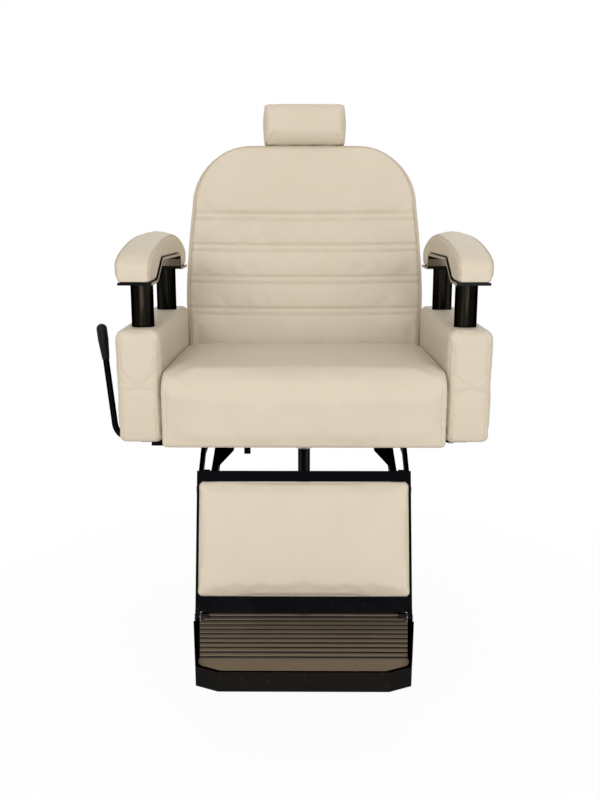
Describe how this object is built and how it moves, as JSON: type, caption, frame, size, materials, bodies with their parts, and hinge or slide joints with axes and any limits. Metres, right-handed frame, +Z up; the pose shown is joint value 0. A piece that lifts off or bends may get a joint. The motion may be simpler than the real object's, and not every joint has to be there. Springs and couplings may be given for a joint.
{
  "type": "hairdressing chair",
  "caption": "Reclining barber and hairdressing chair top in cream upholstery with a channelled back, arched arm rests, swinging leg rest, ribbed footplate and a lift ram for its base",
  "frame": {"origin": "lower end of the lift ram, on its axis; the ram drops into the base", "axes": "+Z up, the sitter faces -Y, +X is the sitter's left; one unit is one metre"},
  "size_m": [0.7334, 0.8958, 0.9843],
  "materials": {
    "upholstery": "cream leatherette, fine grain, satin, tone-on-tone stitching",
    "plywood": "birch plywood, sealed",
    "polished_black": "black nickel plate, polished",
    "black_paint": "gloss black powder coat",
    "shell": "satin black moulded plastic",
    "grip": "black moulded grip",
    "washer": "bronze bearing washer",
    "steel": "bright zinc-plated steel"
  },
  "bodies": {
    "ram": {"lift_ram": "black_paint", "thrust_collar": "steel", "thrust_washer": "washer"},
    "chassis": {"swivel_hub": "black_paint", "mount_plate": "black_paint", "plate_bolts": "steel", "seat_frame": "black_paint", "seat_board": "plywood", "seat_bolts": "steel", "seat_cushion": "upholstery", "side_core_left": "plywood", "side_core_right": "plywood", "side_pad_left": "upholstery", "side_pad_right": "upholstery", "arm_post_front_left": "polished_black", "arm_post_front_right": "polished_black", "arm_post_rear_left": "polished_black", "arm_post_rear_right": "polished_black", "arm_plate_left": "polished_black", "arm_plate_right": "polished_black", "arm_pad_left": "upholstery", "arm_pad_right": "upholstery", "arm_screws": "steel", "leg_arm_left": "black_paint", "leg_arm_right": "black_paint", "leg_pin_left": "steel", "leg_pin_right": "steel", "shaft_bracket_left": "black_paint", "shaft_bracket_right": "black_paint", "lever_bushes": "black_paint", "lock_bracket": "black_paint", "lock_tube": "steel"},
    "back": {"recline_shaft": "steel", "back_frame": "black_paint", "lock_crank": "black_paint", "lock_pin": "steel", "back_board": "plywood", "back_cushion": "upholstery", "back_shell": "shell", "headrest_socket": "black_paint", "link_pins_rear": "steel"},
    "headrest_carrier": {"headrest_stem": "black_paint", "headrest_pin": "steel"},
    "headrest": {"headrest_plate": "black_paint", "headrest_pad": "upholstery"},
    "leg_rest": {"leg_frame": "polished_black", "leg_board": "plywood", "leg_pad": "upholstery", "link_pins_front": "steel", "foot_pin_left": "steel", "foot_pin_right": "steel"},
    "foot_rest": {"footplate": "polished_black"},
    "links": {"link_left": "black_paint", "link_right": "black_paint"},
    "lever": {"lever_shaft": "black_paint", "lever_rod": "black_paint", "lever_grip": "grip"},
    "lock_piston": {"lock_rod": "steel"},
    "valve": {"lock_valve": "steel"}
  },
  "joints": [
    {"name": "swivel", "type": "hinge", "parent": "ram", "child": "chassis", "pos_m": [0, 0, 0.25], "axis": [0, 0, 1], "continuous": true},
    {"name": "back_recline", "type": "hinge", "parent": "chassis", "child": "back", "pos_m": [0, 0.233, 0.278], "axis": [-1, 0, 0], "range_deg": [0, 50]},
    {"name": "leg_swing", "type": "hinge", "parent": "chassis", "child": "leg_rest", "pos_m": [0, -0.1935, 0.22], "axis": [-1, 0, 0], "range_deg": [0, 50]},
    {"name": "link_turn", "type": "hinge", "parent": "back", "child": "links", "pos_m": [0, 0.245, 0.248], "axis": [-1, 0, 0], "range_deg": [-50, 0]},
    {"name": "foot_fold", "type": "hinge", "parent": "leg_rest", "child": "foot_rest", "pos_m": [0, -0.29417, -0.01736], "axis": [-1, 0, 0], "range_deg": [0, 70]},
    {"name": "headrest_slide", "type": "slide", "parent": "back", "child": "headrest_carrier", "axis": [0, 0.2079, 0.9781], "range_m": [0, 0.1]},
    {"name": "headrest_tilt", "type": "hinge", "parent": "headrest_carrier", "child": "headrest", "pos_m": [0, 0.3752, 0.83575], "axis": [-1, 0, 0], "range_deg": [0, 35]},
    {"name": "lever_turn", "type": "hinge", "parent": "chassis", "child": "lever", "pos_m": [-0.2, -0.12, 0.274], "axis": [1, 0, 0], "range_deg": [0, 18], "stiffness_Nm_per_rad": 4},
    {"name": "lock_slide", "type": "slide", "parent": "chassis", "child": "lock_piston", "axis": [0, -1, 0], "range_m": [0, 0.0274]},
    {"name": "valve_press", "type": "slide", "parent": "chassis", "child": "valve", "axis": [0, 1, 0], "range_m": [0, 0.0083]}
  ],
  "couplings": [
    {"joint": "leg_swing", "follows": "back_recline", "ratio": 1},
    {"joint": "link_turn", "follows": "back_recline", "ratio": -1},
    {"joint": "lock_slide", "follows": "back_recline", "m_per_rad": 0.03125},
    {"joint": "valve_press", "follows": "lever_turn", "m_per_rad": 0.026}
  ]
}
